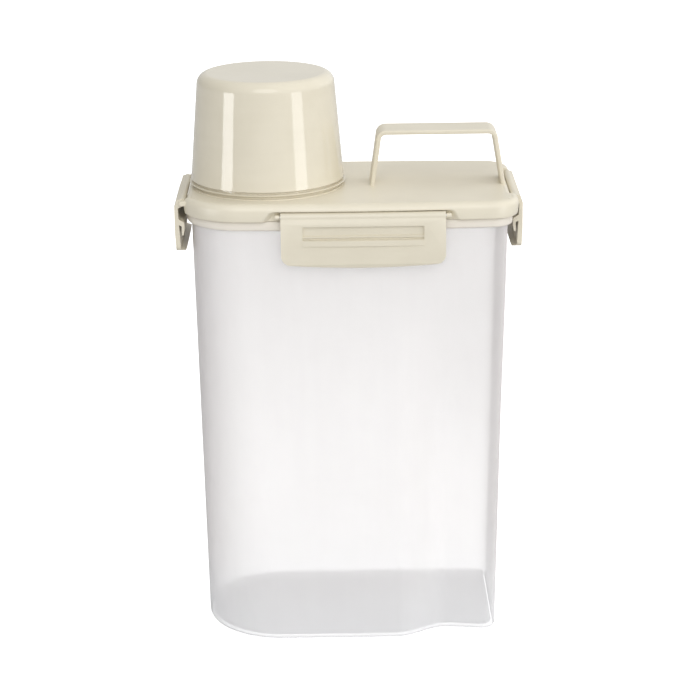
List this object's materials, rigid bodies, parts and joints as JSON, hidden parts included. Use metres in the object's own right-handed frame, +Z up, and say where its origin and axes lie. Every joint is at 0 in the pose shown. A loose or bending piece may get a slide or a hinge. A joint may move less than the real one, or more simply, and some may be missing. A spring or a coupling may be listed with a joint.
{
  "type": "dry food keeper with measuring cup lid",
  "caption": "Tall frosted keeper for cereal or rice: clip-down lid with hinged flaps, a measuring cup pressed over the round pouring mouth, and a strap handle.",
  "frame": {"origin": "on the table under the middle of the keeper's overall box", "axes": "+Z up; +X towards the handle end, -X towards the pouring end; -Y towards the front long side, the one with the grip"},
  "size_m": [0.1784, 0.1064, 0.2961],
  "materials": {
    "frosted_body": "frosted translucent polypropylene, satin",
    "cream_lid": "cream polypropylene, satin",
    "cream_handle": "cream polypropylene, satin",
    "cream_flap": "cream polypropylene, satin",
    "cup": "cream, glossy, very slightly translucent",
    "silicone": "soft white silicone",
    "pin_steel": "drawn stainless wire"
  },
  "bodies": {
    "body": {"body": "frosted_body"},
    "lid": {"lid": "cream_lid", "lid_gasket": "silicone", "mouth_seal": "silicone", "handle": "cream_handle", "pin_front": "pin_steel", "pin_rear": "pin_steel", "pin_left": "pin_steel", "pin_right": "pin_steel"},
    "cup": {"measuring_cup": "cup"},
    "flap_front": {"flap_front": "cream_flap"},
    "flap_rear": {"flap_rear": "cream_flap"},
    "flap_left": {"flap_left": "cream_flap"},
    "flap_right": {"flap_right": "cream_flap"}
  },
  "joints": [
    {"name": "lid_lift", "type": "slide", "parent": "body", "child": "lid", "axis": [0, 0, 1], "range_m": [0, 0.1]},
    {"name": "cup_lift", "type": "slide", "parent": "lid", "child": "cup", "axis": [0, 0, 1], "range_m": [0, 0.08]},
    {"name": "flap_front_hinge", "type": "hinge", "parent": "lid", "child": "flap_front", "pos_m": [0.007, -0.0492, 0.232], "axis": [-1, 0, 0], "range_deg": [0, 100]},
    {"name": "flap_rear_hinge", "type": "hinge", "parent": "lid", "child": "flap_rear", "pos_m": [0.007, 0.0492, 0.232], "axis": [1, 0, 0], "range_deg": [0, 100]},
    {"name": "flap_left_hinge", "type": "hinge", "parent": "lid", "child": "flap_left", "pos_m": [-0.0842, 0, 0.235], "axis": [0, 1, 0], "range_deg": [0, 100]},
    {"name": "flap_right_hinge", "type": "hinge", "parent": "lid", "child": "flap_right", "pos_m": [0.0842, 0, 0.235], "axis": [0, -1, 0], "range_deg": [0, 100]}
  ]
}
